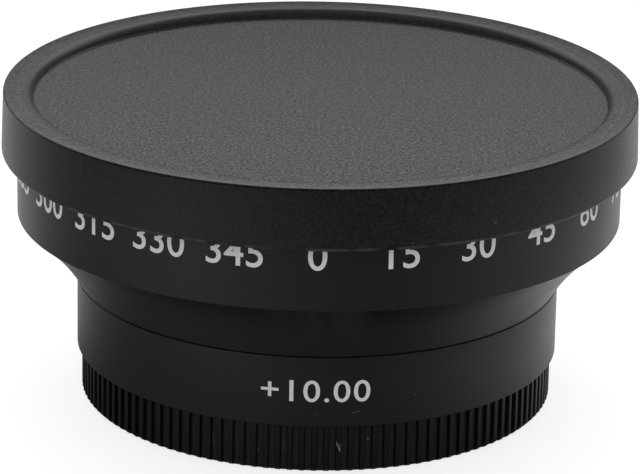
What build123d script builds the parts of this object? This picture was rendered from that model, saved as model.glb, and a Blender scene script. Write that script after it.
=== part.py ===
"""Wide-angle conversion lens with a close-up rear section, both lens caps fitted.

All sizes are in millimetres. The optical axis is +Z, pointing towards the scene, and the
origin is the centre of the rear cap's foot, where the lens stands on a table. Every piece
is turned or moulded about that axis, so each one starts as a half section of (radius,
height) points. Fine threads are plain cylinders at their nominal radius.
"""

import os
from math import sqrt

from build123d import *

# Standard threads: 58 mm rear thread, 72 mm front filter thread, 0.75 mm pitch
rear_thread_radius = 29.0
rear_thread_length = 3.5
filter_thread_radius = 36.0
filter_thread_length = 3.1
thread_fit = 0.05
thread_relief_width = 0.5
thread_relief_depth = 0.6
thread_lead = 0.3

# Rear cap, moulded with grip flutes
rear_cap_floor = 1.8
rear_cap_wall = 0.95
rear_cap_gap = 0.1
rear_end_clearance = 0.8
foot_ring_width = 3.5
foot_recess_depth = 0.4
rear_cap_bevel = 0.4
flute_count = 126
flute_width = 0.9
flute_floor_width = 0.75
flute_depth = 0.55

# Close-up section: barrel, positive lens and its ring
shoulder_width = 1.6
macro_body_length = 9.1
macro_wall = 2.95
macro_glass_thickness = 2.5
macro_front_curve = 80.0
macro_rear_curve = 150.0
macro_glass_clearance = 0.55
macro_ring_height = 2.0

# Joint between the two sections
joint_wall = 3.1
joint_thread_length = 3.45
joint_end_gap = 0.15
seam_gap = 0.05
seam_bevel = 0.15

# Wide-angle barrel: flared neck under a straight front tube
flare_height = 8.65
flare_curve = 27.0
front_tube_length = 13.2
filter_wall = 2.15
front_rim_bevel = 0.35
spigot_wall = 2.6
baffle_depth = 4.72
baffle_steps = 5

# Front glass: negative meniscus, held on its seat by a slotted ring
front_glass_thickness = 3.0
front_outer_curve = 160.0
front_inner_curve = 45.0
front_inner_aperture = 25.0
front_vertex_clearance = 0.3
front_seat_width = 3.6
front_ring_step = 0.7
front_glass_step = 1.2
front_ring_height = 2.6

# Inner glass: weaker negative meniscus behind the baffle
inner_glass_edge = 3.0
inner_outer_curve = 70.0
inner_inner_curve = 48.0
inner_rim_width = 3.8
inner_ring_height = 2.0

# Front cap, moulded and pushed over the front tube
front_cap_height = 7.7
front_cap_wall = 1.65
front_cap_floor = 1.2
front_cap_recess = 1.3
front_cap_rim_width = 3.75
front_cap_rim_fall = 0.15
front_cap_draft = 0.25
front_cap_gap = 0.1
front_cap_edge_radius = 0.3
front_cap_lip_radius = 0.3
front_cap_corner_radius = 0.1

# Shared details
glass_fit = 0.05
glass_land = 1.1
land_overhang = 0.1
ring_thread_step = 0.55
inner_ring_cover = 1.5
spanner_slot_width = 1.6
spanner_slot_depth = 0.9
edge_break = 0.15
tolerance = 1e-3


def sag(curve, radius):
    """Height of a spherical cap of the given curve at that radius."""
    return curve - sqrt(curve**2 - radius**2)


# Radii that follow from the threads and walls
rear_cap_bore = rear_thread_radius + thread_fit
rear_cap_radius = rear_cap_bore + rear_cap_wall
foot_recess_radius = rear_cap_radius - foot_ring_width
macro_radius = rear_thread_radius + shoulder_width
macro_bore = rear_thread_radius - macro_wall
macro_glass_radius = macro_bore - glass_fit
macro_land_radius = macro_glass_radius - glass_land
macro_ring_bore = macro_bore + ring_thread_step
joint_radius = macro_radius - joint_wall
spigot_radius = joint_radius - thread_fit
inner_bore = spigot_radius - spigot_wall
inner_glass_radius = inner_bore - glass_fit
inner_land_radius = inner_glass_radius - glass_land
inner_aperture = inner_glass_radius - inner_rim_width
inner_ring_bore = inner_bore + ring_thread_step
tube_radius = filter_thread_radius + filter_wall
front_ring_bore = filter_thread_radius - front_ring_step
front_glass_radius = front_ring_bore - front_glass_step
front_bore = front_glass_radius + glass_fit
front_land_radius = front_glass_radius - glass_land
front_cap_bore = tube_radius + thread_fit
front_cap_radius = front_cap_bore + front_cap_wall

# Heights, stacked from the foot up to the front cap's rim
macro_rear = rear_cap_floor + rear_end_clearance
macro_shoulder = macro_rear + rear_thread_length
rear_cap_height = macro_shoulder - rear_cap_gap
macro_seat = rear_cap_floor + macro_glass_clearance + sag(macro_rear_curve, macro_land_radius)
macro_land = macro_seat + macro_glass_thickness
macro_front = macro_shoulder + macro_body_length
seam = macro_front + seam_gap
spigot_end = seam - joint_thread_length
joint_floor = spigot_end - joint_end_gap
tube_foot = seam + flare_height
tube_front = tube_foot + front_tube_length
filter_floor = tube_front - filter_thread_length
front_vertex = filter_floor - front_vertex_clearance
front_land = front_vertex - sag(front_outer_curve, front_land_radius)
front_inner_vertex = front_vertex - front_glass_thickness
front_seat = front_inner_vertex - sag(front_inner_curve, front_inner_aperture)
front_bore_top = front_land - edge_break
inner_seat = front_seat - baffle_depth
inner_rear = inner_seat - inner_glass_edge
inner_bore_foot = inner_rear + edge_break
front_cap_ceiling = tube_front + front_cap_gap
front_cap_floor_top = front_cap_ceiling + front_cap_floor
front_cap_rim = front_cap_floor_top + front_cap_recess
front_cap_mouth = front_cap_rim - front_cap_height
front_cap_rim_inside = front_cap_rim - front_cap_rim_fall
front_cap_recess_lip = front_cap_rim_inside - front_cap_floor_top - 2 * front_cap_corner_radius


def turned(*lines):
    """Solid of revolution about the optical axis, from the lines of a closed half section."""
    outline = [edge for line in lines for edge in line.edges()]
    return revolve(Plane.XZ * make_face(outline), Axis.Z)


def turned_points(points):
    """Solid of revolution from a closed half section with straight sides."""
    return turned(Polyline(*points, close=True))


def circle_edge(solid, radius, height):
    """The circular edge of that radius at that height."""

    def matches(edge):
        same_size = abs(edge.radius - radius) < tolerance
        return same_size and abs(edge.arc_center.Z - height) < tolerance

    return solid.edges().filter_by(GeomType.CIRCLE).filter_by(matches)


def surface(curve, radius, height, bulge):
    """Half of a spherical lens surface, from its land to the axis. A bulge of 1 rises, -1 falls."""
    middle = height + bulge * (sag(curve, radius) - sag(curve, radius / 2))
    vertex = height + bulge * sag(curve, radius)
    return ThreePointArc((radius, height), (radius / 2, middle), (0, vertex))


def retaining_ring(inner, outer, foot, height, slots_up):
    """Threaded ring with broken edges and two spanner slots on the face that can be reached."""
    top = foot + height
    ring = turned_points([(inner, foot), (outer, foot), (outer, top), (inner, top)])
    face = top if slots_up else foot
    ring = chamfer(circle_edge(ring, inner, face), edge_break)
    return ring - Pos(0, 0, face) * Box(2 * outer, spanner_slot_width, 2 * spanner_slot_depth)


def rear_cap():
    """Screw cap over the rear thread: thin fluted wall, flat floor, shallow recess underneath."""
    cup = turned_points(
        [
            (0, foot_recess_depth),
            (foot_recess_radius, foot_recess_depth),
            (foot_recess_radius, 0),
            (rear_cap_radius - rear_cap_bevel, 0),
            (rear_cap_radius, rear_cap_bevel),
            (rear_cap_radius, rear_cap_height),
            (rear_cap_bore + thread_lead, rear_cap_height),
            (rear_cap_bore, rear_cap_height - thread_lead),
            (rear_cap_bore, rear_cap_floor),
            (0, rear_cap_floor),
        ]
    )
    section = Polygon(
        (flute_depth, -flute_width / 2),
        (flute_depth, flute_width / 2),
        (0, flute_width / 2),
        (-flute_depth, flute_floor_width / 2),
        (-flute_depth, -flute_floor_width / 2),
        (0, -flute_width / 2),
        align=None,
    )
    return cup - PolarLocations(rear_cap_radius, flute_count) * extrude(section, rear_cap_height)


def macro_barrel():
    """Close-up section's barrel: rear thread, seat for the glass, and the joint's female thread."""
    aperture = macro_land_radius + land_overhang
    relief = rear_thread_radius - thread_relief_depth
    return turned_points(
        [
            (aperture + edge_break, macro_rear),
            (rear_thread_radius - thread_lead, macro_rear),
            (rear_thread_radius, macro_rear + thread_lead),
            (rear_thread_radius, macro_shoulder - thread_relief_width),
            (relief, macro_shoulder - thread_relief_width),
            (relief, macro_shoulder),
            (macro_radius - seam_bevel, macro_shoulder),
            (macro_radius, macro_shoulder + seam_bevel),
            (macro_radius, macro_front - seam_bevel),
            (macro_radius - seam_bevel, macro_front),
            (joint_radius + thread_lead, macro_front),
            (joint_radius, macro_front - thread_lead),
            (joint_radius, joint_floor),
            (macro_ring_bore, joint_floor),
            (macro_ring_bore, macro_land - edge_break),
            (macro_bore, macro_land - edge_break),
            (macro_bore, macro_seat),
            (aperture, macro_seat),
            (aperture, macro_rear + edge_break),
        ]
    )


def macro_element():
    """Positive close-up lens, convex on both sides, with a flat land at its edge."""
    rear_vertex = macro_seat - sag(macro_rear_curve, macro_land_radius)
    front_vertex_height = macro_land + sag(macro_front_curve, macro_land_radius)
    rim = Polyline(
        (macro_land_radius, macro_seat),
        (macro_glass_radius, macro_seat),
        (macro_glass_radius, macro_land),
        (macro_land_radius, macro_land),
    )
    return turned(
        surface(macro_rear_curve, macro_land_radius, macro_seat, -1),
        rim,
        surface(macro_front_curve, macro_land_radius, macro_land, 1),
        Line((0, front_vertex_height), (0, rear_vertex)),
    )


def macro_retaining_ring():
    """Slotted ring that holds the close-up lens on its seat."""
    inner = macro_land_radius + land_overhang
    outer = macro_ring_bore - thread_fit
    return retaining_ring(inner, outer, macro_land, macro_ring_height, slots_up=True)


def baffle_points():
    """Stair-stepped light baffle, from the inner glass's seat out to the front glass's seat."""
    foot_radius = inner_land_radius + land_overhang
    top_radius = front_bore - front_seat_width
    tread = (top_radius - foot_radius) / baffle_steps
    riser = baffle_depth / baffle_steps
    points = []
    for step in range(baffle_steps):
        radius = foot_radius + step * tread
        points.append((radius, inner_seat + step * riser))
        points.append((radius, inner_seat + (step + 1) * riser))
    return points + [(top_radius, front_seat)]


def wide_barrel():
    """Wide-angle section's barrel: threaded spigot, flared neck, front tube and filter thread."""
    relief = spigot_radius - thread_relief_depth
    outside = Polyline(
        (inner_ring_bore, spigot_end),
        (spigot_radius - thread_lead, spigot_end),
        (spigot_radius, spigot_end + thread_lead),
        (spigot_radius, seam - thread_relief_width),
        (relief, seam - thread_relief_width),
        (relief, seam),
        (macro_radius - seam_bevel, seam),
        (macro_radius, seam + seam_bevel),
    )
    flare = RadiusArc((macro_radius, seam + seam_bevel), (tube_radius, tube_foot), flare_curve)
    inside = [
        (tube_radius, tube_foot),
        (tube_radius, tube_front - front_rim_bevel),
        (tube_radius - front_rim_bevel, tube_front),
        (filter_thread_radius + thread_lead, tube_front),
        (filter_thread_radius, tube_front - thread_lead),
        (filter_thread_radius, filter_floor),
        (front_ring_bore, filter_floor),
        (front_ring_bore, front_bore_top),
        (front_bore, front_bore_top),
        (front_bore, front_seat),
    ]
    inside += reversed(baffle_points())
    inside += [
        (inner_bore, inner_seat),
        (inner_bore, inner_bore_foot),
        (inner_ring_bore, inner_bore_foot),
        (inner_ring_bore, spigot_end),
    ]
    return turned(outside, flare, Polyline(*inside))


def front_element():
    """Large negative meniscus: gently domed outside, deeply hollowed inside."""
    rim = Polyline(
        (front_inner_aperture, front_seat),
        (front_glass_radius, front_seat),
        (front_glass_radius, front_land),
        (front_land_radius, front_land),
    )
    return turned(
        surface(front_inner_curve, front_inner_aperture, front_seat, 1),
        rim,
        surface(front_outer_curve, front_land_radius, front_land, 1),
        Line((0, front_vertex), (0, front_inner_vertex)),
    )


def front_retaining_ring():
    """Slotted ring round the front glass, below the filter thread."""
    inner = front_land_radius + land_overhang
    outer = front_ring_bore - thread_fit
    return retaining_ring(inner, outer, front_land, front_ring_height, slots_up=True)


def inner_element():
    """Smaller negative meniscus that loads from the rear against the foot of the baffle."""
    outer_vertex = inner_seat + sag(inner_outer_curve, inner_land_radius)
    hollow_vertex = inner_rear + sag(inner_inner_curve, inner_aperture)
    rim = Polyline(
        (inner_aperture, inner_rear),
        (inner_glass_radius, inner_rear),
        (inner_glass_radius, inner_seat),
        (inner_land_radius, inner_seat),
    )
    return turned(
        surface(inner_inner_curve, inner_aperture, inner_rear, 1),
        rim,
        surface(inner_outer_curve, inner_land_radius, inner_seat, 1),
        Line((0, outer_vertex), (0, hollow_vertex)),
    )


def inner_retaining_ring():
    """Slotted ring behind the inner glass, reached from the rear."""
    inner = inner_glass_radius - inner_ring_cover
    outer = inner_ring_bore - thread_fit
    foot = inner_rear - inner_ring_height
    return retaining_ring(inner, outer, foot, inner_ring_height, slots_up=False)


def front_cap():
    """Push-on cap: raised rim with a well rounded inner edge round a sunk panel, over a drafted skirt."""
    recess_radius = front_cap_radius - front_cap_rim_width
    mouth_radius = front_cap_radius + front_cap_draft
    cap = turned_points(
        [
            (0, front_cap_ceiling),
            (front_cap_bore, front_cap_ceiling),
            (front_cap_bore, front_cap_mouth),
            (mouth_radius, front_cap_mouth),
            (front_cap_radius, front_cap_rim),
            (recess_radius, front_cap_rim_inside),
            (recess_radius, front_cap_floor_top),
            (0, front_cap_floor_top),
        ]
    )
    cap = fillet(circle_edge(cap, front_cap_radius, front_cap_rim), front_cap_edge_radius)
    cap = fillet(circle_edge(cap, recess_radius, front_cap_floor_top), front_cap_corner_radius)
    cap = fillet(circle_edge(cap, recess_radius, front_cap_rim_inside), front_cap_recess_lip)
    cap = fillet(circle_edge(cap, mouth_radius, front_cap_mouth), front_cap_lip_radius)
    return chamfer(circle_edge(cap, front_cap_bore, front_cap_mouth), front_cap_lip_radius)


pieces = {
    "rear_cap": rear_cap,
    "macro_barrel": macro_barrel,
    "macro_element": macro_element,
    "macro_retaining_ring": macro_retaining_ring,
    "wide_barrel": wide_barrel,
    "front_element": front_element,
    "front_retaining_ring": front_retaining_ring,
    "inner_element": inner_element,
    "inner_retaining_ring": inner_retaining_ring,
    "front_cap": front_cap,
}

os.makedirs("parts", exist_ok=True)
for name, make in pieces.items():
    export_step(make(), f"parts/{name}.step")
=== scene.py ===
"""Wide-angle conversion lens with both caps on: turned and moulded pieces, finishes, numbers and studio.

Sizes are in millimetres, the same as the solids have, and each mesh is built in metres in their frame.
"""

from math import ceil, cos, floor, pi, radians, sin, sqrt, tan

import bmesh
import bpy
from mathutils import Matrix, Vector


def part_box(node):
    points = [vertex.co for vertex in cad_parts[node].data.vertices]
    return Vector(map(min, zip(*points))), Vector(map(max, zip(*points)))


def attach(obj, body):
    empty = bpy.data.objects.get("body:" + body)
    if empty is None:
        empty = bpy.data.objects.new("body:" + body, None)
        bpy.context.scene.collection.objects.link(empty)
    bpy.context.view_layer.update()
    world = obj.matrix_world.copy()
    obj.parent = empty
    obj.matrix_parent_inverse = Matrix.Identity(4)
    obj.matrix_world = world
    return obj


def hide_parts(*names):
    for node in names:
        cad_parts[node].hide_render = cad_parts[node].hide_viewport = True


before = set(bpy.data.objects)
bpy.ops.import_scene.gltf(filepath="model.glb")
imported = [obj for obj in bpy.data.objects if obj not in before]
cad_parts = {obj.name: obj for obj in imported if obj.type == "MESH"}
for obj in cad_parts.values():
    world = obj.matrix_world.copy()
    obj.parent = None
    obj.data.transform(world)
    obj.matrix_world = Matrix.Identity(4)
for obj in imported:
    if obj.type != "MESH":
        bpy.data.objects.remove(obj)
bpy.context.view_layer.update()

mm = 0.001
full_turn = 2 * pi
plain_segments = 256
sharp_angle = radians(32)
edge_break = 0.15

# Threads, 60 degree form; a nut's thread has the same section as a screw's, a little further out
thread_pitch = 0.75
thread_depth = 0.406
thread_fit = 0.05
thread_lead = 0.3
thread_merge = 0.02
thread_stations = ((0.0, 0.0), (0.125, 0.0), (0.4375, 1.0), (0.6875, 1.0))
rear_thread_radius = 29.0
joint_thread_radius = 27.5
filter_thread_radius = 36.0
relief_width = 0.5
relief_depth = 0.6

# Rear cap
rear_cap_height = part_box("rear_cap")[1].z / mm
rear_cap_radius = 30.0
rear_cap_bore = rear_thread_radius + thread_fit
rear_cap_floor = 1.8
foot_radius = 26.5
foot_depth = 0.4
rear_cap_bevel = 0.4
rear_cap_mouth_bevel = 0.08
rear_cap_corner = 0.3
foot_edge = 0.12
foot_corner = 0.15
flute_count = 126
flute_width = 0.9
flute_floor_width = 0.75
flute_depth = 0.55
flute_rounding = 0.07

# Close-up section
macro_rear, macro_front = (corner.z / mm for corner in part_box("macro_barrel"))
macro_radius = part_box("macro_barrel")[1].x / mm
macro_shoulder = 6.1
macro_seat = 4.431
macro_glass_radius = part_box("macro_element")[1].x / mm
macro_glass_thickness = 2.5
macro_front_curve = 80.0
macro_rear_curve = 150.0
glass_fit = 0.05
glass_bevel = 0.12
glass_land = 1.1
land_overhang = 0.1
ring_step = 0.55
bore_edge = 0.08
aperture_edge = 0.12
joint_floor = 11.65

# Wide section
spigot_end, tube_front = (corner.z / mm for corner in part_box("wide_barrel"))
tube_radius = 38.15
seam = macro_front + thread_fit
seam_bevel = 0.15
seam_bevel_middle = 0.045
tube_foot = 23.9
flare_curve = 27.0
flare_steps = 24
front_rim_bevel = 0.35
filter_floor = 34.0
front_ring_bore = 35.3
front_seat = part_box("front_element")[0].z / mm
front_glass_radius = 34.1
front_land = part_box("front_retaining_ring")[0].z / mm
front_seat_width = 3.6
front_outer_curve = 160.0
front_inner_curve = 45.0
front_inner_aperture = 25.0
baffle_depth = 4.72
baffle_steps = 5
inner_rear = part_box("inner_element")[0].z / mm
inner_glass_radius = 24.8
inner_glass_edge = 3.0
inner_outer_curve = 70.0
inner_inner_curve = 48.0
inner_aperture = 21.0
ring_clearance = 0.01

# Front cap
front_cap_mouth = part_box("front_cap")[0].z / mm
front_cap_radius = 39.85
front_cap_draft = 0.25
front_cap_bore = tube_radius + thread_fit
front_cap_rim_width = 3.75
front_cap_panel = 38.4
front_cap_recess = 1.3
front_cap_floor = 1.2
front_cap_edge = 0.3
front_cap_lip = 0.3
front_cap_corner = 0.1
front_cap_inner_corner = 0.25
front_cap_rim_fall = 0.15
front_cap_recess_lip = 0.95


def sag(curve, radius):
    """Height of a spherical cap of the given curve at that radius."""
    return curve - sqrt(curve**2 - radius**2)


def arc(start, end, radius, steps):
    """Points from start to end on an arc that bulges to the left of the way, both ends counted."""
    start, end = Vector(start), Vector(end)
    middle, way = (start + end) / 2, (end - start).normalized()
    left = Vector((-way.y, way.x))
    centre = middle - left * sqrt(radius**2 - (start - middle).length_squared)
    first, last = start - centre, end - centre
    sweep = first.angle(last)
    shares = [step / steps for step in range(steps + 1)]
    return [tuple(centre + spoke(first, last, sweep, share)) for share in shares]


def spoke(first, last, sweep, share):
    """The radius that lies at that share of the sweep from the first to the last."""
    return (first * sin((1 - share) * sweep) + last * sin(share * sweep)) / sin(sweep)


def dome(curve, radius, height, bulge, steps=24):
    """Half of a lens surface, from its land to the axis. A bulge of 1 rises, -1 falls."""
    rows = [radius * (1 - step / steps) for step in range(steps + 1)]
    return [(row, height + bulge * (sag(curve, radius) - sag(curve, row))) for row in rows]


def rounded(outline, steps=6):
    """The closed outline with each corner that has a third value turned into an arc of that radius."""
    result = []
    for place, item in enumerate(outline):
        if isinstance(item, Thread) or len(item) < 3:
            result.append(item)
            continue
        corner = Vector(item[:2])
        before, after = outline[place - 1], outline[(place + 1) % len(outline)]
        to_before = (end_of(before, last=True) - corner).normalized()
        to_after = (end_of(after, last=False) - corner).normalized()
        half = to_before.angle(to_after) / 2
        centre = corner + (to_before + to_after).normalized() * item[2] / sin(half)
        first = corner + to_before * item[2] / tan(half) - centre
        last = corner + to_after * item[2] / tan(half) - centre
        sweep = first.angle(last)
        shares = [step / steps for step in range(steps + 1)]
        result += [tuple(centre + spoke(first, last, sweep, share)) for share in shares]
    return result


def end_of(item, last):
    """The point where a stretch of the outline starts or ends."""
    if isinstance(item, Thread):
        return Vector((item.radius, item.end if last else item.start))
    return Vector(item[:2])


class Thread:
    """Right-hand thread cut along a stretch of an outline, from one height to another."""

    def __init__(self, radius, start, end, lead_at=None, nut=False):
        self.radius = radius
        self.start = start
        self.end = end
        self.lead_at = lead_at
        self.nut = nut

    def radius_at(self, height, angle):
        """Radius of the thread's flank, crest or root, cut back by the lead at its free end."""
        phase = (height / thread_pitch - angle / full_turn) % 1
        stations = thread_stations + ((1.0, 0.0),)
        for (low, low_depth), (high, high_depth) in zip(stations, stations[1:]):
            if phase <= high:
                depth = low_depth + (high_depth - low_depth) * (phase - low) / (high - low)
                break
        radius = self.radius - thread_depth * depth
        if self.lead_at is None:
            return radius
        away = abs(height - self.lead_at) - thread_lead
        return max(radius, self.radius - away) if self.nut else min(radius, self.radius + away)

    def build(self, mesh, angles):
        """Adds the threaded band and returns its first and last ring of points."""
        low, high = sorted((self.start, self.end))
        count = len(thread_stations)

        def point(angle, height):
            radius = self.radius_at(height, angle)
            return mesh.verts.new(Vector((radius * cos(angle), radius * sin(angle), height)) * mm)

        rings = {height: [point(angle, height) for angle in angles] for height in (low, high)}
        first_row = floor(low / thread_pitch - 1) * count
        last_row = ceil(high / thread_pitch + 1) * count
        grid = {}
        for column, angle in enumerate(angles):
            for row in range(first_row, last_row + count + 1):
                station = thread_stations[row % count][0]
                height = thread_pitch * (row // count + station + angle / full_turn)
                if height < low + thread_merge:
                    grid[column, row] = rings[low][column]
                elif height > high - thread_merge:
                    grid[column, row] = rings[high][column]
                else:
                    grid[column, row] = point(angle, height)
        columns = len(angles)
        for row in range(first_row, last_row):
            for column in range(columns):
                wraps = column + 1 == columns
                beside, beside_row = (0, row + count) if wraps else (column + 1, row)
                add_face(
                    mesh,
                    grid[column, row],
                    grid[beside, beside_row],
                    grid[beside, beside_row + 1],
                    grid[column, row + 1],
                )
        return rings[self.start], rings[self.end]


def add_face(mesh, *corners):
    """Adds a face, leaving out corners that meet, and nothing if fewer than three are left."""
    corners = list(dict.fromkeys(corners))
    if len(corners) > 2:
        mesh.faces.new(corners)


def plain_angles():
    """Angles of evenly spaced columns round the axis."""
    return [full_turn * step / plain_segments for step in range(plain_segments)]


def finish_mesh(mesh, name, body, finish):
    """Turns the working mesh into a piece with smooth faces and sharp edges, on its body."""
    bmesh.ops.delete(mesh, geom=[v for v in mesh.verts if not v.link_faces], context="VERTS")
    bmesh.ops.recalc_face_normals(mesh, faces=mesh.faces)
    for face in mesh.faces:
        face.smooth = True
    for edge in mesh.edges:
        edge.smooth = edge.calc_face_angle(0) < sharp_angle
    data = bpy.data.meshes.new(name)
    mesh.to_mesh(data)
    mesh.free()
    piece = bpy.data.objects.new(name, data)
    bpy.context.scene.collection.objects.link(piece)
    data.materials.append(finish)
    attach(piece, body)
    return piece


def turned(name, node, body, slot, finish, outline, angles=None, edge=None):
    """Piece turned from a closed half section, standing for its node. Edge caps the radius at an angle."""
    mesh = bmesh.new()
    angles = angles or plain_angles()
    stretches = []
    for item in rounded(outline):
        if isinstance(item, Thread):
            stretches.append(item.build(mesh, angles))
            continue
        radius, height = item
        if radius == 0:
            ring = [mesh.verts.new((0, 0, height * mm))] * len(angles)
        else:
            ring = []
            for angle in angles:
                reach = min(radius, edge(angle)) if edge else radius
                ring.append(mesh.verts.new(Vector((reach * cos(angle), reach * sin(angle), height)) * mm))
        stretches.append((ring, ring))
    for (_, near), (far, _) in zip(stretches, stretches[1:] + stretches[:1]):
        for column in range(len(angles)):
            beside = (column + 1) % len(angles)
            add_face(mesh, near[column], near[beside], far[beside], far[column])
    piece = finish_mesh(mesh, name, body, finish)
    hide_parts(node)


def on_wall(radius, angle, height):
    """Place on a round wall, with the angle in degrees to the right of its front."""
    return radius * sin(radians(angle)), -radius * cos(radians(angle)), height


class Value:
    """A socket that shader maths can be written with."""

    def __init__(self, graph, socket):
        self.graph = graph
        self.socket = socket

    def maths(self, operation, *values, clamp=False):
        node = self.graph.add("ShaderNodeMath", {"operation": operation, "use_clamp": clamp}, *values)
        return node(0)

    def __add__(self, other):
        return self.maths("ADD", self, other)

    def __sub__(self, other):
        return self.maths("SUBTRACT", self, other)

    def __rsub__(self, other):
        return self.maths("SUBTRACT", other, self)

    def __mul__(self, other):
        return self.maths("MULTIPLY", self, other)

    def __truediv__(self, other):
        return self.maths("DIVIDE", self, other)

    def __rtruediv__(self, other):
        return self.maths("DIVIDE", other, self)

    def __abs__(self):
        return self.maths("ABSOLUTE", self)

    def __pow__(self, other):
        return self.maths("POWER", self, other)

    def __lt__(self, other):
        return self.maths("LESS_THAN", self, other)

    def __gt__(self, other):
        return self.maths("GREATER_THAN", self, other)

    def clamped(self):
        return self.maths("ADD", self, 0.0, clamp=True)

    def swing(self, amount):
        """Noise about 0.5 as a change of up to half that amount either way."""
        return (self - 0.5) * amount

    __radd__ = __add__
    __rmul__ = __mul__


class Graph:
    """Node tree of a material or of the world."""

    def __init__(self, owner):
        owner.use_nodes = True
        self.tree = owner.node_tree
        self.tree.nodes.clear()

    def add(self, kind, settings=None, *inputs, **named):
        """Adds a node, sets it up, fills its sockets, and returns a way to get its outputs."""
        node = self.tree.nodes.new(kind)
        for setting, value in (settings or {}).items():
            if setting == "stops":
                node.color_ramp.elements[0].position, low = value[0]
                node.color_ramp.elements[1].position, high = value[-1]
                node.color_ramp.elements[0].color = (low, low, low, 1)
                node.color_ramp.elements[1].color = (high, high, high, 1)
                for position, grey in value[1:-1]:
                    node.color_ramp.elements.new(position).color = (grey, grey, grey, 1)
            else:
                setattr(node, setting, value)
        for place, value in [*enumerate(inputs), *named.items()]:
            socket = node.inputs[place.replace("_", " ") if isinstance(place, str) else place]
            if isinstance(value, Value):
                self.tree.links.new(value.socket, socket)
            elif value is not None:
                socket.default_value = value
        return lambda output=0: Value(self, node.outputs[output])

    def place(self):
        """Position on the object in millimetres, as x, y and z, the radius and the point."""
        point = self.vector("SCALE", self.add("ShaderNodeTexCoord")("Object"), Scale=1 / mm)
        parts = self.add("ShaderNodeSeparateXYZ", None, point)
        x, y, z = parts(0), parts(1), parts(2)
        return x, y, z, (x * x + y * y) ** 0.5, point

    def vector(self, operation, *values, **named):
        """Vector maths, which gives a number where the operation measures something."""
        node = self.add("ShaderNodeVectorMath", {"operation": operation}, *values, **named)
        return node("Value" if operation in ("DOT_PRODUCT", "LENGTH") else "Vector")

    def level(self):
        """1 on faces that look straight up, falling to 0 on slopes and walls."""
        steepest, flat = 0.9, 0.99
        facing = self.add("ShaderNodeSeparateXYZ", None, self.add("ShaderNodeNewGeometry")("Normal"))
        return ((facing(2) - steepest) / (flat - steepest)).clamped()

    def noise(self, point, size, detail=2.0):
        """Soft noise about 0.5, with features of that size in millimetres."""
        settings = {"noise_dimensions": "3D"}
        return self.add("ShaderNodeTexNoise", settings, point, Scale=1 / size, Detail=detail)()

    def lines(self, along, size, detail=3.0):
        """Noise that changes in one direction only, such as the marks of a turning tool."""
        settings = {"noise_dimensions": "1D"}
        return self.add("ShaderNodeTexNoise", settings, W=along, Scale=1 / size, Detail=detail)()

    def specks(self, point, spacing, size, share):
        """Mask of small round specks, in that share of the cells of a loose grid."""
        cells = self.add("ShaderNodeTexVoronoi", {"feature": "F1"}, point, Scale=1 / spacing)
        chosen = self.add("ShaderNodeSeparateColor", None, cells("Color"))
        keep = chosen(0) < share
        reach = chosen(1) * size / spacing
        return keep * (cells("Distance") < reach)

    def scratch(self, point, start, end, width):
        """Mask of a fine scratch between two places in millimetres."""
        run = Vector(end) - Vector(start)
        away = self.vector("SUBTRACT", point, start)
        share = (self.vector("DOT_PRODUCT", away, tuple(run)) / run.length_squared).clamped()
        foot = self.vector("SCALE", tuple(run), Scale=share)
        return self.vector("LENGTH", self.vector("SUBTRACT", away, foot)) < width

    def scratches(self, point, radius, marks):
        """All scratches of a wall, each as angle and height at its start and end, width and strength."""
        total = 0
        for start_angle, start_height, end_angle, end_height, width, strength in marks:
            start = on_wall(radius, start_angle, start_height)
            end = on_wall(radius, end_angle, end_height)
            total = self.scratch(point, start, end, width) * strength + total
        return total

    def ramp(self, stops, value):
        """Level of a ramp at that value, from its stops of place and level."""
        return self.add("ShaderNodeValToRGB", {"stops": stops}, value)()

    def rays(self):
        """1 for rays that mirror, and 1 for rays that reach the camera straight or through glass."""
        rays = self.add("ShaderNodeLightPath")
        return rays("Is Glossy Ray"), (rays("Is Camera Ray") + rays("Is Transmission Ray")).clamped()

    def glow(self, strength):
        """White light of that strength."""
        return self.add("ShaderNodeEmission", None, (1, 1, 1, 1), strength)()

    def grey(self, value):
        """A grey colour from a value."""
        return self.add("ShaderNodeCombineColor", None, value, value, value)()

    def turn(self, x, y):
        """Share of a turn at which a place lies: 0.5 in front, less to its left, more to its right."""
        return x.maths("ARCTAN2", x, 0 - y) / full_turn + 0.5

    def bump(self, height, distance):
        """Surface direction from a height of that distance in millimetres."""
        return self.add("ShaderNodeBump", None, Height=height, Distance=distance * mm)()

    def surface(self, color, roughness, normal, **constants):
        """The finished surface, with its constants set straight on the shader."""
        changing = {"Base_Color": color, "Roughness": roughness, "Normal": normal}
        shader = self.add("ShaderNodeBsdfPrincipled", None, **changing, **constants)
        self.add("ShaderNodeOutputMaterial", None, Surface=shader())


def new_material(name):
    """A new material of that name and its node tree."""
    material = bpy.data.materials.new(name)
    return material, Graph(material)


# Scratches: angle and height of the start and of the end, half width, and how pale it is
skirt_marks = (
    (57.6, 36.6, 60.2, 36.7, 0.09, 0.09),
    (23.6, 35.5, 24.0, 35.6, 0.1, 0.1),
    (52.3, 34.0, 52.5, 34.1, 0.08, 0.08),
    (40.0, 34.8, 40.1, 34.8, 0.08, 0.07),
    (16.0, 32.8, 16.2, 32.8, 0.07, 0.08),
)
rear_cap_marks = (
    (5.2, 3.83, 6.06, 2.78, 0.05, 0.3),
    (6.0, 3.7, 6.06, 2.78, 0.04, 0.15),
    (12.8, 4.05, 12.9, 4.0, 0.08, 0.3),
    (-24.9, 3.7, -24.6, 2.0, 0.05, 0.06),
    (-13.4, 2.3, -13.3, 2.2, 0.07, 0.15),
    (-7.3, 3.9, -7.4, 2.4, 0.05, 0.05),
    (-47.2, 4.1, -47.1, 4.0, 0.08, 0.1),
)
macro_marks = ((8.5, 7.95, 10.1, 8.18, 0.06, 0.06),)
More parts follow.
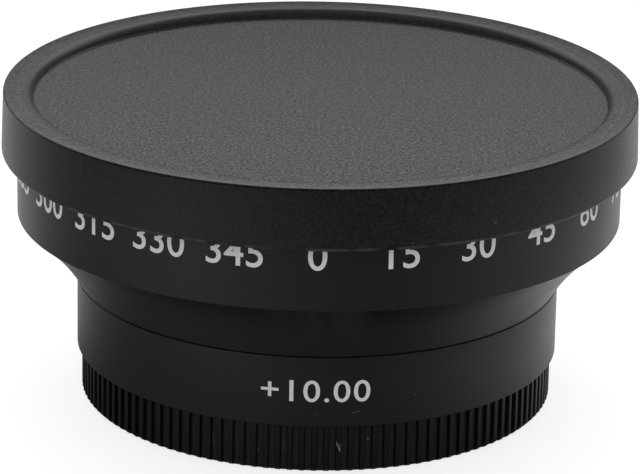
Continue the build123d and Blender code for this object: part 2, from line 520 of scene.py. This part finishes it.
pale_specks = (
    ((2.55, -11.88, front_cap_panel), (3.05, -11.88, front_cap_panel)),
    ((1.57, -12.34, front_cap_panel), (2.07, -12.34, front_cap_panel)),
)
pale_speck_width = 0.09
pale_speck_grey = 0.1
dark_speck = (13.37, 0.38, front_cap_panel), (13.42, 0.38, front_cap_panel)
dark_speck_width = 0.16

# Dust: spacing of the places that may hold a speck, its largest size, and the share that holds one
cap_dust = 2.6, 0.24, 0.3
barrel_dust = 2.3, 0.2, 0.3
rear_cap_dust = 1.9, 0.14, 0.25
glass_dust = 3.5, 0.1, 0.3

# Front cap's finish: sizes in millimetres, then greys and strengths
satin = 0.36
sand_size = 0.38
cap_grain_size = 0.2
cap_cloud_size = 9.0
chalk_patch_size = 3.0
chalk_height = 0.42
chalk_start = 0.45
chalk_contrast = 8.0
# Painted highlight ring on the rim's top: its radius and half width
highlight_ring_radius = 38.0
highlight_ring_half_width = 0.12
# Painted shade ring on the rim's top: its radius and half width
shade_ring_radius = 38.7
shade_ring_half_width = 0.18
cap_grey = 0.007
panel_grey = 0.008
# Painted light: how much paler the cap's tops get towards the front
painted_front_light_grey = 0.02
# Painted light: how much paler the recess's inner wall and lip are
painted_wall_light_grey = 0.022
# Grey of the painted highlight ring, then of the painted shade ring
painted_highlight_grey = 0.012
painted_shade_grey = 0.006
chalk_grey = 0.035
cap_dust_grey = 0.05
panel_speckle = 0.13
# Painted light: extra sand contrast on the tops towards the front
painted_front_speckle = 0.14
skirt_speckle = 0.03
rim_calm = 0.4
sand_relief = 0.03
wall_sand = 0.3
fine_grain = 0.35

# Barrels' finish
anodised_grey = 0.005
tool_line_size = 0.09
barrel_grain_size = 0.16
barrel_cloud_size = 7.0
barrel_dust_grey = 0.05
barrel_relief = 0.003

# Rear cap's finish
rear_cap_grey = 0.005
rear_cap_grain_size = 0.18
rear_cap_cloud_size = 5.0
rear_cap_dust_grey = 0.09
# Painted light on the flute floors: how much paler they are, and how far it reaches above and below the
# floor
painted_flute_light_grey = 0.014
flute_light_above = 0.04
flute_light_below = 0.1
rear_cap_relief = 0.004

# Glass, with a blue-green coating and a blackened, ground edge
glass_index = 1.6
coating_tint = (0.45, 0.8, 0.75, 1)
blackening = 0.985
ground_edge_grain = 0.1
ground_relief = 0.01
smear_size = 14.0

# Paint of the numbers
paint_grey = 0.86
paint_patch_size = 0.7
paint_grain_size = 0.12
paint_roughness = 0.5
paint_relief = 0.004


def cap_moulding():
    """Moulded cap: sandy where it faces up, finer on the skirt, with a rubbed lower edge, scratches and
    painted light.
    """
    material, graph = new_material("sandy_cap_plastic")
    _, y, z, radius, point = graph.place()
    level = graph.level()
    sand = graph.noise(point, sand_size, 1.0)
    grain = graph.noise(point, cap_grain_size, 1.0)
    cloud = graph.noise(point, cap_cloud_size, 3.0)
    patch = graph.noise(point, chalk_patch_size, 3.0)
    dust = graph.specks(point, *cap_dust)
    # Painted highlight: a pale ring on the rim near its inner lip
    painted_highlight_ring = (abs(radius - highlight_ring_radius) < highlight_ring_half_width) * level
    # Painted shade: a darker ring on the rim just outside the painted highlight
    painted_shade_ring = (abs(radius - shade_ring_radius) < shade_ring_half_width) * level
    chalk = (z < front_cap_mouth + chalk_height) * ((patch - chalk_start) * chalk_contrast).clamped()
    marks = graph.scratches(point, front_cap_radius + front_cap_draft, skirt_marks)
    for start, end in pale_specks:
        marks = graph.scratch(point, start, end, pale_speck_width) * pale_speck_grey + marks
    hole = graph.scratch(point, *dark_speck, dark_speck_width)
    height = sand * (level * (1 - wall_sand) + wall_sand) + grain * fine_grain
    # Painted light: a share that grows towards the front and makes the tops paler and their sand stronger
    # there
    painted_front_light = (0.5 - y / (2 * front_cap_radius)).clamped()
    recess = front_cap_radius - front_cap_rim_width
    on_rim = radius > recess
    # Painted light: the recess's inner wall and lip are paler, lifting their shade
    inner_wall = (1 - level) * (radius < recess + front_cap_recess_lip) * (z > front_cap_panel)
    speckle = level * (panel_speckle + painted_front_light * painted_front_speckle) * (1 - on_rim * rim_calm) + skirt_speckle
    shade = cap_grey + level * (panel_grey + painted_front_light * painted_front_light_grey) + inner_wall * painted_wall_light_grey
    shade = shade + cloud.swing(0.004) + sand.swing(speckle) + painted_highlight_ring * painted_highlight_grey - painted_shade_ring * painted_shade_grey
    shade = (shade + chalk * chalk_grey + marks + dust * cap_dust_grey).clamped()
    roughness = (satin + cloud.swing(0.1) + sand.swing(0.25) + dust * 0.3 + hole * 0.4).clamped()
    normal = graph.bump(height, sand_relief)
    graph.surface(graph.grey(shade * (1 - hole)), roughness, normal, Specular_IOR_Level=0.4)
    return material


def anodising():
    """Satin black anodised aluminium with the fine lines of turning and a faint grain."""
    material, graph = new_material("turned_black_anodising")
    _, _, z, radius, point = graph.place()
    lines = graph.lines(z + radius, tool_line_size)
    grain = graph.noise(point, barrel_grain_size, 1.0)
    cloud = graph.noise(point, barrel_cloud_size, 3.0)
    dust = graph.specks(point, *barrel_dust)
    marks = graph.scratches(point, macro_radius, macro_marks)
    shade = anodised_grey + cloud.swing(0.003) + lines.swing(0.003) + grain.swing(0.008)
    shade = (shade + dust * barrel_dust_grey + marks).clamped()
    roughness = (satin + cloud.swing(0.1) + grain.swing(0.1) + dust * 0.3).clamped()
    normal = graph.bump(lines * 0.5 + grain, barrel_relief)
    graph.surface(graph.grey(shade), roughness, normal, Specular_IOR_Level=0.5)
    return material


def rear_cap_moulding():
    """Smooth black moulded plastic with painted light on its flute floors, dust specks and fine scratches.
    """
    material, graph = new_material("smooth_cap_plastic")
    x, y, z, radius, point = graph.place()
    cloud = graph.noise(point, rear_cap_cloud_size, 3.0)
    grain = graph.noise(point, rear_cap_grain_size, 2.0)
    dust = graph.specks(point, *rear_cap_dust)
    flute_floor = rear_cap_radius - flute_depth
    # Painted light: the flute floors are paler, standing in for light reaching into the flutes
    painted_flute_light = (radius < flute_floor + flute_light_above) * (radius > flute_floor - flute_light_below)
    wall = rear_cap_radius / radius
    rolled = graph.add("ShaderNodeCombineXYZ", None, x * wall, y * wall, z)()
    marks = graph.scratches(rolled, rear_cap_radius, rear_cap_marks)
    shade = rear_cap_grey + cloud.swing(0.003) + grain.swing(0.004) + painted_flute_light * painted_flute_light_grey + marks
    shade = (shade + dust * rear_cap_dust_grey).clamped()
    roughness = (satin + cloud.swing(0.16) + dust * 0.35 + painted_flute_light * 0.2).clamped()
    normal = graph.bump(grain, rear_cap_relief)
    graph.surface(graph.grey(shade), roughness, normal, Specular_IOR_Level=0.35)
    return material


def number_paint():
    """Pale grey paint in the numbers, slightly uneven."""
    material, graph = new_material("pale_number_paint")
    point = graph.place()[-1]
    patch = graph.noise(point, paint_patch_size, 3.0)
    grain = graph.noise(point, paint_grain_size, 2.0)
    color = graph.grey(paint_grey + patch.swing(0.14) + grain.swing(0.12))
    normal = graph.bump(grain, paint_relief)
    graph.surface(color, paint_roughness + patch.swing(0.2), normal, Specular_IOR_Level=0.3)
    return material


def lens_glass(land_radius):
    """Coated glass, ground and blackened outside the given radius, with a little dust."""
    material, graph = new_material(f"coated_glass_{land_radius:.0f}")
    _, _, _, radius, point = graph.place()
    edge = radius > land_radius
    dust = graph.specks(point, *glass_dust)
    grain = graph.noise(point, ground_edge_grain, 2.0)
    smear = graph.noise(point, smear_size, 2.0)
    color = graph.grey((1 - edge * blackening - dust * 0.5).clamped())
    roughness = (edge * 0.55 + dust * 0.5 + smear.swing(0.02) + 0.01).clamped()
    graph.surface(
        color,
        roughness,
        graph.bump(grain * edge, ground_relief),
        Transmission_Weight=1.0,
        IOR=glass_index,
        Specular_Tint=coating_tint,
    )
    return material


def flute_edge(angle):
    """Largest radius of the fluted wall at that angle."""
    spacing = full_turn / flute_count
    across = abs((angle + spacing / 2) % spacing - spacing / 2) * rear_cap_radius
    floor_half, mouth_half = flute_floor_width / 2, flute_width / 2
    if across <= floor_half:
        return rear_cap_radius - flute_depth
    if across < mouth_half:
        share = (across - floor_half) / (mouth_half - floor_half)
        return rear_cap_radius - flute_depth + (flute_depth - flute_rounding) * share
    if across < mouth_half + flute_rounding:
        return rear_cap_radius - flute_rounding + (across - mouth_half)
    return rear_cap_radius


def flute_angles():
    """Columns of the fluted wall: floor, sides, rounded edges and the middle of each land."""
    offsets = (
        -flute_width / 2 - flute_rounding,
        -flute_width / 2,
        -flute_floor_width / 2,
        flute_floor_width / 2,
        flute_width / 2,
        flute_width / 2 + flute_rounding,
    )
    angles = []
    for flute in range(flute_count):
        middle = full_turn * flute / flute_count
        angles += [middle + offset / rear_cap_radius for offset in offsets]
        angles += [middle + full_turn / 2 / flute_count]
    return angles


def rear_cap(finish):
    """Screw cap over the rear thread, with grip flutes round its wall."""
    thread_end = rear_cap_floor + relief_width
    outline = [
        (0, foot_depth),
        (foot_radius, foot_depth, foot_corner),
        (foot_radius, 0, foot_edge),
        (rear_cap_radius - rear_cap_bevel, 0),
        (rear_cap_radius, rear_cap_bevel),
        (rear_cap_radius, rear_cap_height - rear_cap_mouth_bevel),
        (rear_cap_radius - rear_cap_mouth_bevel, rear_cap_height),
        (rear_cap_bore + thread_lead, rear_cap_height),
        Thread(rear_cap_bore, rear_cap_height, thread_end, lead_at=rear_cap_height, nut=True),
        (rear_cap_bore, thread_end),
        (rear_cap_bore, rear_cap_floor, rear_cap_corner),
        (0, rear_cap_floor),
    ]
    wall = flute_angles(), flute_edge
    turned("moulded_rear_cap", "rear_cap", "rear_cap", "rear_cap_plastic", finish, outline, *wall)


def macro_barrel(finish):
    """Close-up section's barrel with its rear thread and the joint's nut thread."""
    aperture = macro_glass_radius - glass_land + land_overhang
    bore = macro_glass_radius + glass_fit
    land = macro_seat + macro_glass_thickness - edge_break
    relief = rear_thread_radius - relief_depth
    thread_end = joint_floor + relief_width
    outline = [
        (aperture, macro_rear, aperture_edge),
        (rear_thread_radius - thread_lead - thread_depth, macro_rear),
        Thread(rear_thread_radius, macro_rear, macro_shoulder - relief_width, lead_at=macro_rear),
        (relief, macro_shoulder - relief_width),
        (relief, macro_shoulder),
        (macro_radius, macro_shoulder, seam_bevel),
        (macro_radius, macro_front, seam_bevel),
        (joint_thread_radius + thread_lead, macro_front),
        Thread(joint_thread_radius, macro_front, thread_end, lead_at=macro_front, nut=True),
        (joint_thread_radius, thread_end),
        (joint_thread_radius, joint_floor),
        (bore + ring_step, joint_floor, bore_edge),
        (bore + ring_step, land),
        (bore, land),
        (bore, macro_seat),
        (aperture, macro_seat),
    ]
    turned("turned_macro_barrel", "macro_barrel", "macro_section", "black_anodised", finish, outline)


def wide_barrel(finish):
    """Wide section's barrel: threaded spigot, flared neck, front tube, filter thread and stepped baffle."""
    spigot = joint_thread_radius - thread_fit
    relief = spigot - relief_depth
    bore = inner_glass_radius + glass_fit
    inner_seat = inner_rear + inner_glass_edge
    baffle_foot = inner_glass_radius - glass_land + land_overhang
    baffle_top = front_glass_radius + glass_fit - front_seat_width
    tread = (baffle_top - baffle_foot) / baffle_steps
    riser = baffle_depth / baffle_steps
    outline = [
        (spigot - thread_lead - thread_depth, spigot_end),
        Thread(spigot, spigot_end, seam - relief_width, lead_at=spigot_end),
        (relief, seam - relief_width),
        (relief, seam),
        (macro_radius - seam_bevel, seam),
        (macro_radius - seam_bevel_middle, seam + seam_bevel_middle),
        *arc((macro_radius, seam + seam_bevel), (tube_radius, tube_foot), flare_curve, flare_steps),
        (tube_radius, tube_front - front_rim_bevel),
        (tube_radius - front_rim_bevel, tube_front),
        (filter_thread_radius + thread_lead, tube_front),
        Thread(filter_thread_radius, tube_front, filter_floor, lead_at=tube_front, nut=True),
        (front_ring_bore, filter_floor),
        (front_ring_bore, front_land - edge_break),
        (front_glass_radius + glass_fit, front_land - edge_break),
        (front_glass_radius + glass_fit, front_seat),
        (baffle_top, front_seat),
    ]
    for step in reversed(range(baffle_steps)):
        outline.append((baffle_foot + step * tread, inner_seat + (step + 1) * riser))
        outline.append((baffle_foot + step * tread, inner_seat + step * riser))
    outline += [
        (bore, inner_seat),
        (bore, inner_rear + edge_break),
        (bore + ring_step, inner_rear + edge_break),
        (bore + ring_step, spigot_end, bore_edge),
    ]
    turned("turned_wide_barrel", "wide_barrel", "wide_section", "black_anodised", finish, outline)


def front_cap(finish):
    """Push-on cap: raised rim round a sunk panel, and a slightly drafted skirt."""
    recess = front_cap_radius - front_cap_rim_width
    rim = front_cap_panel + front_cap_recess
    ceiling = front_cap_panel - front_cap_floor
    outline = [
        (0, ceiling),
        (front_cap_bore, ceiling, front_cap_inner_corner),
        (front_cap_bore, front_cap_mouth, front_cap_lip),
        (front_cap_radius + front_cap_draft, front_cap_mouth, front_cap_lip),
        (front_cap_radius, rim, front_cap_edge),
        (recess, rim - front_cap_rim_fall, front_cap_recess_lip),
        (recess, front_cap_panel, front_cap_corner),
        (0, front_cap_panel),
    ]
    turned("moulded_front_cap", "front_cap", "front_cap", "cap_plastic", finish, outline)


def lens(name, node, body, radius, rear, front):
    """Lens element with two flat lands. Rear: height, curve, aperture, bulge. Front: height, curve."""
    rear_height, rear_curve, rear_aperture, rear_bulge = rear
    front_height, front_curve = front
    land_radius = radius - glass_land
    outline = [
        *dome(rear_curve, rear_aperture, rear_height, rear_bulge)[::-1],
        (radius, rear_height, glass_bevel),
        (radius, front_height, glass_bevel),
        *dome(front_curve, land_radius, front_height, 1),
    ]
    turned(name, node, body, "coated_glass", lens_glass(land_radius), outline)


def glasses():
    """The wide section's two negative elements and the close-up section's positive one."""
    rear = front_seat, front_inner_curve, front_inner_aperture, 1
    front = front_land, front_outer_curve
    lens("front_glass", "front_element", "wide_glass", front_glass_radius, rear, front)
    rear = inner_rear + ring_clearance, inner_inner_curve, inner_aperture, 1
    front = inner_rear + inner_glass_edge, inner_outer_curve
    lens("inner_glass", "inner_element", "wide_glass", inner_glass_radius, rear, front)
    rear = macro_seat, macro_rear_curve, macro_glass_radius - glass_land, -1
    front = macro_seat + macro_glass_thickness, macro_front_curve
    lens("macro_glass", "macro_element", "macro_section", macro_glass_radius, rear, front)


# Numbers printed on the two barrels
number_thickness = 0.035
number_sunk = 0.1
number_slice = 0.5
number_weight = 0.006
number_curve_steps = 6
scale_steps = 24
scale_step = 15
scale_height = 3.6
scale_foot = 29.0
label = "+10.00"
label_height = 2.8
label_foot = 9.4
label_spacing = 1.1
label_breadth = 1.14
weld_distance = 1e-5


def flat_number(text, height, spacing=1.0, breadth=1.0):
    """Solid figures of that height, centred, standing on y = 0 and facing +z."""
    curve = bpy.data.curves.new("number", "FONT")
    curve.body = text
    curve.align_x = "CENTER"
    curve.extrude = number_thickness / 2
    curve.offset = number_weight
    curve.space_character = spacing
    curve.resolution_u = number_curve_steps
    carrier = bpy.data.objects.new("number", curve)
    bpy.context.scene.collection.objects.link(carrier)
    bpy.context.view_layer.update()
    data = bpy.data.meshes.new_from_object(carrier.evaluated_get(bpy.context.evaluated_depsgraph_get()))
    bpy.data.objects.remove(carrier)
    mesh = bmesh.new()
    mesh.from_mesh(data)
    bpy.data.meshes.remove(data)
    bmesh.ops.remove_doubles(mesh, verts=mesh.verts, dist=weld_distance)
    heights = [v.co.y for v in mesh.verts]
    low, tall = min(heights), max(heights) - min(heights)
    for v in mesh.verts:
        v.co = Vector((v.co.x * breadth * height / tall, (v.co.y - low) * height / tall, v.co.z))
    return mesh


def wrap(mesh, figures, radius, foot, angle):
    """Adds the flat figures to the mesh, bent round the barrel at that angle."""
    wide = max(abs(v.co.x) for v in figures.verts)
    for cut in range(-int(wide / number_slice), int(wide / number_slice) + 1):
        geometry = figures.verts[:] + figures.edges[:] + figures.faces[:]
        plane = {"plane_co": (cut * number_slice, 0, 0), "plane_no": (1, 0, 0)}
        bmesh.ops.bisect_plane(figures, geom=geometry, dist=weld_distance, **plane)
    for v in figures.verts:
        turn = angle + v.co.x / radius
        reach = radius - number_thickness * number_sunk + v.co.z
        v.co = Vector((reach * cos(turn), reach * sin(turn), foot + v.co.y)) * mm
    data = bpy.data.meshes.new("number")
    figures.to_mesh(data)
    figures.free()
    mesh.from_mesh(data)
    bpy.data.meshes.remove(data)


def numbers(finish):
    """A scale round the wide barrel, and one plain number on the close-up barrel."""
    front = -pi / 2
    scale = bmesh.new()
    for step in range(scale_steps):
        degrees = step * scale_step
        figures = flat_number(str(degrees), scale_height)
        wrap(scale, figures, tube_radius, scale_foot, front + radians(degrees))
    finish_mesh(scale, "barrel_scale_numbers", "wide_section", finish)
    single = bmesh.new()
    figures = flat_number(label, label_height, label_spacing, label_breadth)
    wrap(single, figures, macro_radius, label_foot, front)
    finish_mesh(single, "macro_number", "macro_section", finish)


def retaining_rings(finish):
    """The retaining rings keep their solids and get the barrels' finish."""
    for node in ("front_retaining_ring", "inner_retaining_ring", "macro_retaining_ring"):
        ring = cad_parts[node]
        ring.data.materials.clear()
        ring.data.materials.append(finish)


# Studio: how bright the white surround looks in gloss, all the way round from behind over the left, the
# front at 0.5 and the right, then the same close to the object, by height, and by distance on the floor
round_glow = (
    (0.0, 1.0),
    (0.07, 0.95),
    (0.133, 0.78),
    (0.17, 0.65),
    (0.22, 0.42),
    (0.28, 0.33),
    (0.33, 0.55),
    (0.39, 0.7),
    (0.44, 0.5),
    (0.5, 0.31),
    (0.56, 0.24),
    (0.61, 0.33),
    (0.67, 0.45),
    (0.78, 0.58),
    (0.83, 0.7),
    (0.87, 0.85),
    (0.93, 1.0),
    (1.0, 1.0),
)
# Floor's gloss close to the object, which holds a painted shadow of the object: darker than farther out at
# the front and left
near_glow_and_painted_shadow = (
    (0.0, 1.0),
    (0.07, 1.0),
    (0.133, 0.8),
    (0.17, 0.6),
    (0.22, 0.34),
    (0.28, 0.2),
    (0.33, 0.24),
    (0.39, 0.34),
    (0.44, 0.36),
    (0.5, 0.28),
    (0.56, 0.26),
    (0.61, 0.38),
    (0.67, 0.6),
    (0.72, 0.78),
    (0.78, 0.95),
    (0.83, 1.0),
    (1.0, 1.0),
)
rising_glow = ((0.0, 0.08), (0.25, 0.1), (0.45, 0.2), (1.0, 0.3))
floor_reach = 150.0
near_reach = 60.0
# Painted shadow: the floor's gloss falls off close to the object
painted_floor_shadow = ((0.2, 0.45), (0.3, 0.85), (0.42, 1.0), (1.0, 1.0))
open_light = 0.75
cloth_grey = 0.45
floor_whiteness = 0.72
floor_half_size = 3.0
floor_drop = 0.00002

# One upright softbox close behind the object, in metres
softbox_place = (0, 0.14, 0.2475)
softbox_target = (0, 0, 0.2475)
softbox_width = 0.6
softbox_height = 0.305
softbox_radiance = 1.3

# Camera, worked out from the ellipses in the photograph, in metres and radians
camera_distance = 0.47871
camera_height = 0.18758
camera_pitch = 0.3370
camera_pan = 0.0005
camera_roll = 0.0195
focal_pixels = 3984.13
image_width = 640
sensor_width = 36.0


def camera():
    """Camera in front of the object, looking down on it, with a slight roll."""
    data = bpy.data.cameras.new("camera")
    data.sensor_width = sensor_width
    data.lens = focal_pixels * sensor_width / image_width
    view = bpy.data.objects.new("camera", data)
    away = cos(camera_pitch)
    painted_front_light = Vector((sin(camera_pan) * away, cos(camera_pan) * away, -sin(camera_pitch)))
    level = Vector((cos(camera_pan), -sin(camera_pan), 0))
    up = level.cross(painted_front_light)
    right = cos(camera_roll) * level + sin(camera_roll) * up
    above = cos(camera_roll) * up - sin(camera_roll) * level
    turn = Matrix((right, above, -painted_front_light)).transposed().to_4x4()
    view.matrix_world = Matrix.Translation((0, -camera_distance, camera_height)) @ turn
    bpy.context.scene.collection.objects.link(view)
    bpy.context.scene.camera = view


def softbox():
    """Area light of even brightness, which gives the front cap's top its gradient."""
    data = bpy.data.lights.new("behind", "AREA")
    data.shape = "RECTANGLE"
    data.size, data.size_y = softbox_width, softbox_height
    data.energy = softbox_radiance * pi * softbox_width * softbox_height
    box = bpy.data.objects.new("behind", data)
    box.location = softbox_place
    facing = Vector(softbox_target) - Vector(softbox_place)
    box.rotation_euler = facing.to_track_quat("-Z", "Y").to_euler()
    bpy.context.scene.collection.objects.link(box)


def pale_ground():
    """Pale floor that reads white to the camera and keeps the shadow, with a painted shadow round the
    object in its mirrored glow.
    """
    mesh = bmesh.new()
    bmesh.ops.create_grid(mesh, x_segments=1, y_segments=1, size=floor_half_size)
    data = bpy.data.meshes.new("floor")
    mesh.to_mesh(data)
    mesh.free()
    ground = bpy.data.objects.new("floor", data)
    ground.location.z = -floor_drop
    bpy.context.scene.collection.objects.link(ground)
    material, graph = new_material("pale_floor")
    mirrored, seen = graph.rays()
    x, y, _, radius, _ = graph.place()
    turn = graph.turn(x, y)
    # Painted shadow: the floor's mirrored glow darkens close to the object
    far = ((radius - near_reach) / near_reach).clamped()
    round_level = graph.ramp(near_glow_and_painted_shadow, turn) * (1 - far) + graph.ramp(round_glow, turn) * far
    shine = graph.glow(round_level * graph.ramp(painted_floor_shadow, radius / floor_reach))
    cloth = graph.add("ShaderNodeBsdfDiffuse", None, (cloth_grey, cloth_grey, cloth_grey, 1))()
    lit = graph.add("ShaderNodeAddShader", None, cloth, graph.glow(seen * floor_whiteness))()
    both = graph.add("ShaderNodeMixShader", None, mirrored, lit, shine)()
    graph.add("ShaderNodeOutputMaterial", None, Surface=both)
    data.materials.append(material)


def surround():
    """White surround that lights evenly and mirrors as bright walls at the sides."""
    world = bpy.data.worlds.new("surround")
    bpy.context.scene.world = world
    graph = Graph(world)
    mirrored, seen = graph.rays()
    way = graph.add("ShaderNodeSeparateXYZ", None, graph.add("ShaderNodeTexCoord")("Generated"))
    shine = graph.ramp(round_glow, graph.turn(way(0), way(1))) * graph.ramp(rising_glow, way(2))
    strength = seen + mirrored * shine + (1 - seen) * (1 - mirrored) * open_light
    backdrop = graph.add("ShaderNodeBackground", None, (1, 1, 1, 1), strength)()
    graph.add("ShaderNodeOutputWorld", None, backdrop)


camera()
cap_plastic = cap_moulding()
black_metal = anodising()
front_cap(cap_plastic)
wide_barrel(black_metal)
macro_barrel(black_metal)
rear_cap(rear_cap_moulding())
glasses()
retaining_rings(black_metal)
numbers(number_paint())
pale_ground()
surround()
softbox()
bpy.context.scene.view_settings.view_transform = "Standard"
